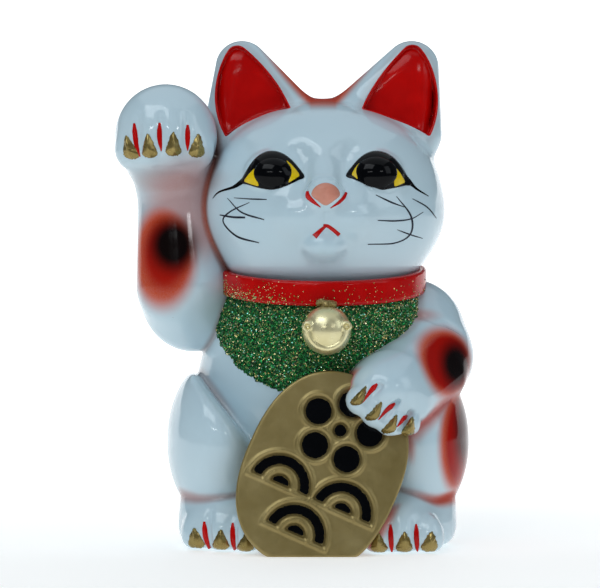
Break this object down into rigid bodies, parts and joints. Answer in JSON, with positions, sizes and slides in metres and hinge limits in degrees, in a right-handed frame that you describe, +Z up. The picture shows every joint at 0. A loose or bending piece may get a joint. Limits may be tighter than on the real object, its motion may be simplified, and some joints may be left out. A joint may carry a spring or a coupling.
{
  "type": "beckoning cat figurine",
  "caption": "Seated glazed ceramic cat with a raised beckoning paw and a gold coin plate; a hollow coin bank with a slot in the back and a rubber stopper in the base.",
  "frame": {"origin": "middle of the bounding box on the surface the cat stands on", "axes": "+Z up, the cat faces -Y, its raised right arm is on the -X side"},
  "size_m": [0.212, 0.1728, 0.2989],
  "materials": {
    "white_glaze": "clear gloss glaze over white clay",
    "gold_enamel": "satin gold overglaze",
    "black_enamel": "gloss",
    "red_enamel": "gloss",
    "pink_enamel": "gloss",
    "glitter": "coarse glitter over lacquer",
    "rubber": "matt"
  },
  "bodies": {
    "figure": {"body_casting": "white_glaze", "head_casting": "white_glaze", "raised_arm": "white_glaze", "lowered_arm": "white_glaze", "tail": "white_glaze", "koban_plate": "gold_enamel", "koban_ornament": "black_enamel", "bell": "gold_enamel", "bell_loop": "gold_enamel", "collar_band": "red_enamel", "bib": "glitter", "right_ear_lining": "red_enamel", "left_ear_lining": "red_enamel", "right_eye": "black_enamel", "left_eye": "black_enamel", "nose_pad": "pink_enamel", "raised_paw_claws": "gold_enamel", "lowered_paw_claws": "gold_enamel", "right_foot_claws": "gold_enamel", "left_foot_claws": "gold_enamel"},
    "stopper": {"stopper": "rubber"}
  },
  "joints": [
    {"name": "stopper_pull", "type": "slide", "parent": "figure", "child": "stopper", "axis": [0, 0, -1], "range_m": [0, 0.02]}
  ]
}
